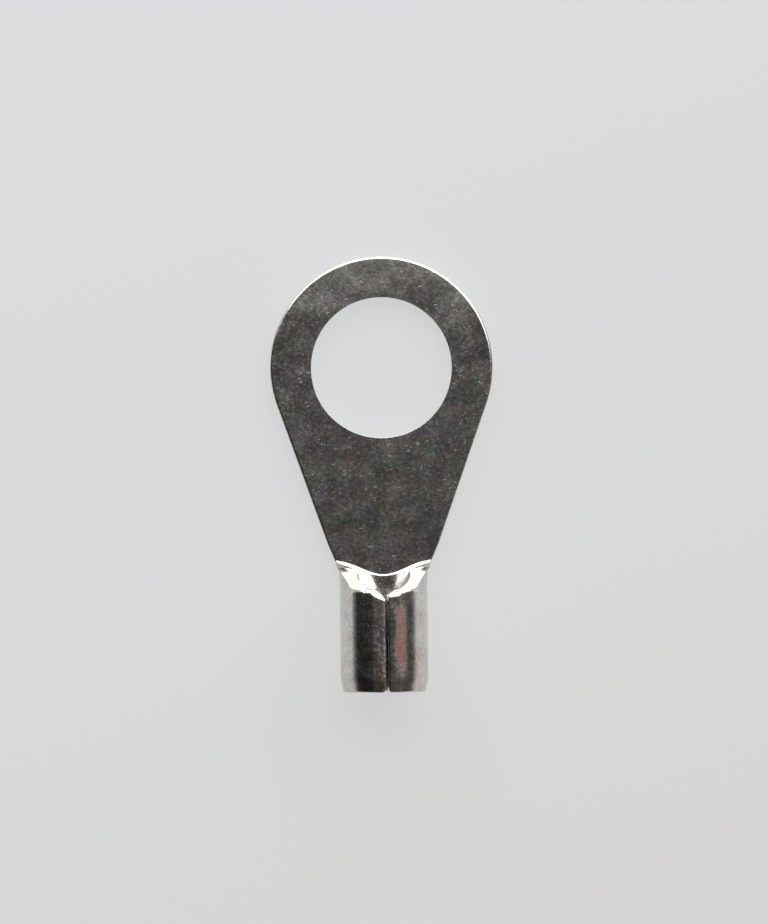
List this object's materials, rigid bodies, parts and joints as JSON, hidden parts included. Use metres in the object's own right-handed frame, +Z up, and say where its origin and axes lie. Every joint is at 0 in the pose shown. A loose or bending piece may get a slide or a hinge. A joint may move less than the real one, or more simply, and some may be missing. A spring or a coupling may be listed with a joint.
{
  "type": "ring terminal",
  "caption": "Bare crimp ring terminal: flat ring and tapered tongue, with the sheet rolled into a round wire barrel behind.",
  "frame": {"origin": "centre of the stud hole, on the underside of the ring", "axes": "+Z up out of the ring along the stud hole, +Y from the wire barrel towards the ring's far end, +X across"},
  "size_m": [0.0132, 0.0259, 0.0052],
  "materials": {
    "tinned_copper": "bright tin plate over copper sheet, with fine pits, specks and handling scratches"
  },
  "bodies": {
    "root": {"ring_terminal": "tinned_copper"}
  },
  "joints": []
}
